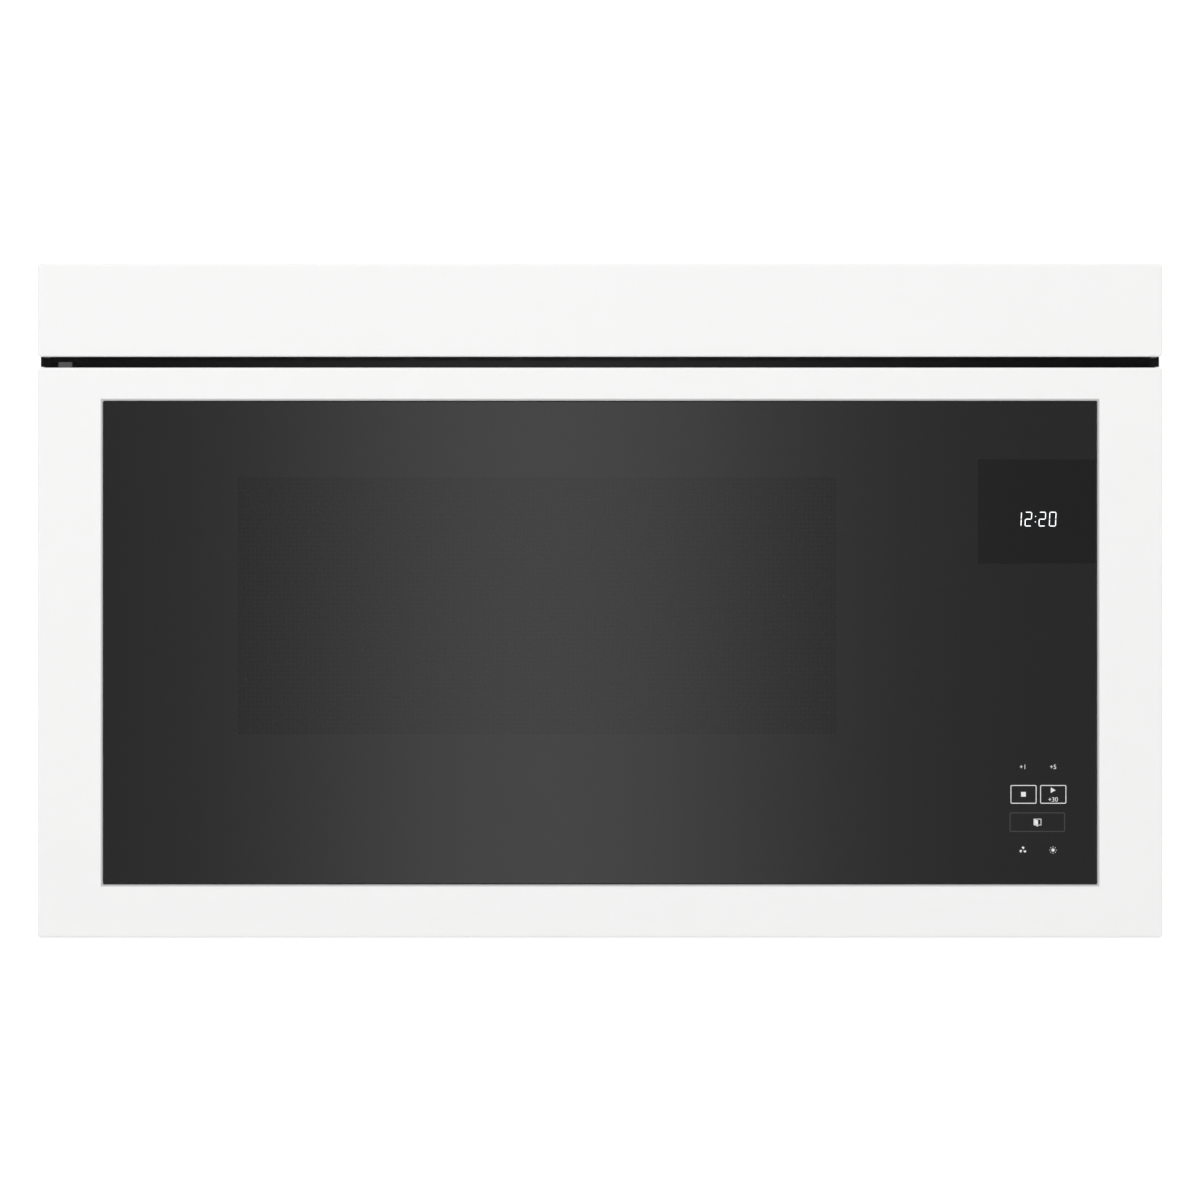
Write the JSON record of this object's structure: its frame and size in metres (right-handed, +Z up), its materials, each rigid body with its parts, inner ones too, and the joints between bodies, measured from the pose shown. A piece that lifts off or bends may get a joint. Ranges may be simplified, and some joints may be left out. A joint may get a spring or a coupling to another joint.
{
  "type": "over-the-range microwave hood",
  "caption": "Flush over-the-range microwave hood: vent fascia, full-width side-hinged dark glass door with touch keys, oven cavity, blower, grease filters and power-release latch.",
  "frame": {"origin": "bottom centre of the wall face, the back of the cabinet", "axes": "+X to the right across the width, +Y into the wall, +Z up; the door faces -Y"},
  "size_m": [0.759, 0.402, 0.455],
  "materials": {
    "white_enamel": "satin white enamel",
    "dark_glass": "dark tinted glass, flush",
    "black_plastic": "fine-grained black moulding",
    "grey_plastic": "dark grey moulding",
    "white_plastic": "plain white moulding",
    "zinc_steel": "zinc-plated sheet steel",
    "hinge_steel": "plated steel leaf",
    "grey_enamel": "grey enamel, oven interior",
    "dark_paint": "dark grey paint",
    "base_paint": "light paint",
    "ceramic": "white glass-ceramic",
    "pane": "thin clear pane",
    "aluminium": "plain aluminium",
    "steel": "bright steel",
    "core_steel": "varnished laminations",
    "copper_wire": "enamelled copper winding",
    "board": "green circuit board",
    "lens": "frosted lens",
    "charcoal": "black granulate in a frame",
    "bush_plastic": "acetal"
  },
  "bodies": {
    "chassis": {"air_guide": "white_plastic", "base_plate": "base_paint", "bay_partition": "zinc_steel", "blower_housing": "zinc_steel", "blower_motor": "zinc_steel", "cabinet_screws": "steel", "cabinet_wrap": "dark_paint", "capacitor_clamp": "zinc_steel", "cavity_lamp": "white_plastic", "ceramic_floor": "ceramic", "charcoal_filter": "charcoal", "cooling_fan_motor": "core_steel", "cord_bushing": "black_plastic", "fan_bulkhead": "zinc_steel", "front_frame": "dark_paint", "grease_filter_frames": "aluminium", "grease_filter_meshes": "aluminium", "hinge_bracket_lower": "hinge_steel", "hinge_bracket_upper": "hinge_steel", "hood_lamp_boards": "board", "hood_lamp_lenses": "lens", "hv_capacitor": "aluminium", "interlock_switches": "black_plastic", "latch_board": "white_plastic", "magnetron": "steel", "noise_filter_board": "board", "oven_cavity": "grey_enamel", "power_board": "board", "rear_panel": "zinc_steel", "release_solenoid": "zinc_steel", "stirrer_motor": "white_plastic", "thermal_cutouts": "white_plastic", "transformer_core": "core_steel", "transformer_windings": "copper_wire", "vent_fascia": "white_enamel", "vent_louvre": "black_plastic", "waveguide": "zinc_steel"},
    "door": {"door_bezel": "white_enamel", "door_glass": "dark_glass", "door_inner_frame": "dark_paint", "door_inner_pane": "pane", "door_choke_cover": "black_plastic", "door_rear_cover": "grey_plastic", "latch_spring": "steel", "hinge_bushes": "bush_plastic", "door_screws": "steel", "touch_board": "board", "display_module": "black_plastic", "control_carrier": "grey_plastic"},
    "latch": {"latch_hooks": "bush_plastic"},
    "blower_rotor": {"blower_shaft": "steel", "blower_wheel_left": "zinc_steel", "blower_wheel_right": "zinc_steel"},
    "cooling_rotor": {"cooling_fan_shaft": "steel", "cooling_fan_blade": "white_plastic"},
    "stirrer": {"stirrer_antenna": "aluminium"},
    "lever": {"release_lever": "bush_plastic"},
    "plunger": {"solenoid_plunger": "steel"},
    "buttons": {"interlock_buttons": "white_plastic"},
    "pusher": {"door_pusher": "black_plastic"}
  },
  "joints": [
    {"name": "door_hinge", "type": "hinge", "parent": "chassis", "child": "door", "pos_m": [-0.36165, -0.388, 0.192], "axis": [0, 0, -1], "range_deg": [0, 95]},
    {"name": "latch_slide", "type": "slide", "parent": "door", "child": "latch", "axis": [0, 0, -1], "range_m": [0, 0.006], "deforming": ["latch_spring"]},
    {"name": "release_lever_pivot", "type": "hinge", "parent": "chassis", "child": "lever", "pos_m": [0.27, -0.3205, 0.2952], "axis": [1, 0, 0], "range_deg": [0, 12.1]},
    {"name": "solenoid_slide", "type": "slide", "parent": "chassis", "child": "plunger", "axis": [0, 0, 1], "range_m": [0, 0.0046]},
    {"name": "switch_buttons", "type": "slide", "parent": "chassis", "child": "buttons", "axis": [0, 0, -1], "range_m": [0, 0.002]},
    {"name": "door_pusher_slide", "type": "slide", "parent": "chassis", "child": "pusher", "axis": [0, -1, 0], "range_m": [0, 0.012]},
    {"name": "blower_spin", "type": "hinge", "parent": "chassis", "child": "blower_rotor", "pos_m": [0, -0.067, 0.387], "axis": [1, 0, 0], "continuous": true},
    {"name": "cooling_fan_spin", "type": "hinge", "parent": "chassis", "child": "cooling_rotor", "pos_m": [0.295, -0.128, 0.152], "axis": [0, 1, 0], "continuous": true},
    {"name": "stirrer_spin", "type": "hinge", "parent": "chassis", "child": "stirrer", "pos_m": [-0.043, -0.206, 0.11], "axis": [0, 0, 1], "continuous": true}
  ],
  "couplings": [
    {"joint": "release_lever_pivot", "follows": "latch_slide", "rad_per_m": 34.9},
    {"joint": "solenoid_slide", "follows": "latch_slide", "ratio": 0.75},
    {"joint": "switch_buttons", "follows": "latch_slide", "ratio": 0.3333},
    {"joint": "door_pusher_slide", "follows": "door_hinge", "m_per_rad": 0.0072}
  ]
}
